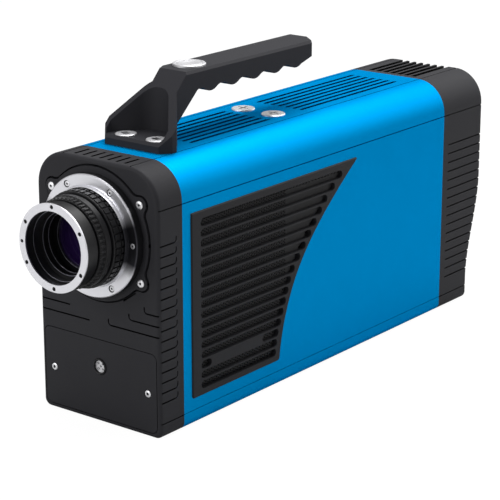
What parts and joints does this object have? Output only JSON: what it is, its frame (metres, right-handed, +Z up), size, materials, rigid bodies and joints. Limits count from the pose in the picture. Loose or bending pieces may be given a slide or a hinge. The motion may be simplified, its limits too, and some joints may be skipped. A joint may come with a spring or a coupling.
{
  "type": "cooled astronomy camera",
  "caption": "Long box-shaped cooled scientific camera with blue metal housing, black bezels, side air grilles, silver lens mount, turning focus ring and cantilever carry handle.",
  "frame": {"origin": "mouth of the main tripod thread in the flat base, on the camera's centre plane", "axes": "+Z up, lens axis towards -Y, +X towards the right-hand grille seen from the front"},
  "size_m": [0.119, 0.4781, 0.2551],
  "materials": {
    "cover_blue": "satin anodised",
    "bezel_black": "fine matt powder coat",
    "grille_black": "fine texture",
    "mesh_black": "matt",
    "handle_black": "bead blasted and black anodised",
    "mount_silver": "satin chrome",
    "screw_steel": "stainless",
    "ring_black": "satin black anodised",
    "window_glass": "coated, dark violet",
    "tube_ceramic": "potted",
    "inner_aluminium": "milled",
    "optics_black": "matt black anodised",
    "module_grey": "tin plated cover",
    "board_green": "solder mask",
    "sensor_dark": "polished",
    "cooler_white": "ceramic",
    "panel_black": "satin",
    "socket_metal": "nickel plated",
    "socket_black": "satin",
    "status_green": "clear"
  },
  "bodies": {
    "camera": {"housing_cover": "cover_blue", "base_tray": "cover_blue", "front_bezel": "bezel_black", "rear_bezel": "bezel_black", "lens_control_plate": "bezel_black", "lens_flange": "bezel_black", "grille_right": "grille_black", "grille_left": "grille_black", "mesh_right": "mesh_black", "mesh_left": "mesh_black", "handle": "handle_black", "mount_ring": "mount_silver", "lens_flange_screws": "screw_steel", "mount_ring_screws": "screw_steel", "handle_screws": "screw_steel", "spare_screws": "screw_steel", "handle_cap": "screw_steel", "lens_control_screws": "screw_steel", "rear_panel_screws": "screw_steel", "fan_screws": "screw_steel", "mount_base": "ring_black", "mount_collar": "ring_black", "window_holder": "ring_black", "entrance_window": "window_glass", "image_intensifier": "tube_ceramic", "front_bulkhead": "inner_aluminium", "rear_bulkhead": "inner_aluminium", "chassis_rails": "inner_aluminium", "bench_plate": "inner_aluminium", "relay_cradle": "inner_aluminium", "sensor_chamber": "inner_aluminium", "heat_sink": "inner_aluminium", "cold_finger": "inner_aluminium", "board_standoffs": "inner_aluminium", "relay_lens": "optics_black", "gate_module": "module_grey", "power_module": "module_grey", "main_board": "board_green", "sensor_board": "board_green", "image_sensor": "sensor_dark", "peltier_cooler": "cooler_white", "rear_panel": "panel_black", "power_inlet": "socket_metal", "trigger_sockets": "socket_metal", "data_sockets": "socket_metal", "lens_control_insert": "socket_metal", "lens_control_socket": "socket_black", "switch_frame": "socket_black", "fan_frame": "socket_black", "status_light": "status_green"},
    "front_tube": {"front_tube": "ring_black", "front_ring": "mount_silver", "front_ring_screws": "ring_black", "baffle_tube": "ring_black"},
    "focus_ring": {"focus_ring": "ring_black"},
    "fan": {"fan_rotor": "socket_black"},
    "switch": {"power_switch": "socket_black"}
  },
  "joints": [
    {"name": "focus_ring_turn", "type": "hinge", "parent": "camera", "child": "focus_ring", "pos_m": [0, -0.217, 0.1464], "axis": [0, -1, 0], "range_deg": [-40, 40]},
    {"name": "front_tube_slide", "type": "slide", "parent": "camera", "child": "front_tube", "axis": [0, -1, 0], "range_m": [-0.00085, 0.00085]},
    {"name": "fan_spin", "type": "hinge", "parent": "camera", "child": "fan", "pos_m": [0, 0.2, 0.143], "axis": [0, 1, 0], "continuous": true},
    {"name": "power_switch_rock", "type": "hinge", "parent": "camera", "child": "switch", "pos_m": [-0.036, 0.212, 0.066], "axis": [1, 0, 0], "range_deg": [-14, 0]}
  ],
  "couplings": [
    {"joint": "front_tube_slide", "follows": "focus_ring_turn", "m_per_rad": 0.0012}
  ]
}
